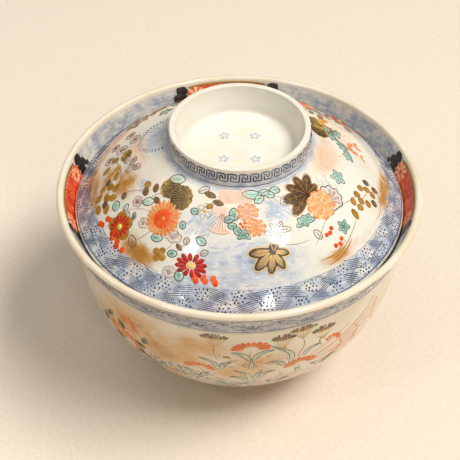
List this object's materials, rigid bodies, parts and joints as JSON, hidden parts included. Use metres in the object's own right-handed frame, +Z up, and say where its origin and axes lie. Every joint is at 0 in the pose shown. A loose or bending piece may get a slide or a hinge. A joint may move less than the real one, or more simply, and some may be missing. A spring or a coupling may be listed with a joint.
{
  "type": "rice bowl",
  "caption": "Lidded porcelain rice bowl: round flared bowl on a foot ring, with a loose domed lid that sits inside the rim and has a ring handle.",
  "frame": {"origin": "centre of the circle that the foot ring stands on", "axes": "+Z up along the bowl's axis of revolution; +Y away from the painted front, so the front faces -Y; +X to the right seen from the front"},
  "size_m": [0.12, 0.12, 0.0961],
  "materials": {
    "bowl_porcelain": "warm cream glazed porcelain with soft ochre and blue washes, glossy; the foot's edge is unglazed",
    "lid_porcelain": "cream-white glazed porcelain with soft blue, ochre and peach washes, glossy",
    "underglaze_blue": "cobalt brushwork under a clear glaze, glossy",
    "iron_red_enamel": "iron-red and orange overglaze enamel, satin gloss",
    "peach_enamel": "thin peach and pale orange overglaze enamel, satin gloss",
    "green_enamel": "translucent mint-green overglaze enamel, glossy",
    "dark_enamel": "brown-black outline and leaf enamel, satin",
    "ochre_gilding": "worn ochre-gold overglaze painting, satin",
    "bright_gilding": "thin bright gilding, soft metallic gloss"
  },
  "bodies": {
    "bowl": {"bowl": "bowl_porcelain"},
    "lid": {"lid": "lid_porcelain"}
  },
  "joints": [
    {"name": "lid_lift", "type": "slide", "parent": "bowl", "child": "lid", "axis": [0, 0, 1], "range_m": [0, 0.08]}
  ]
}
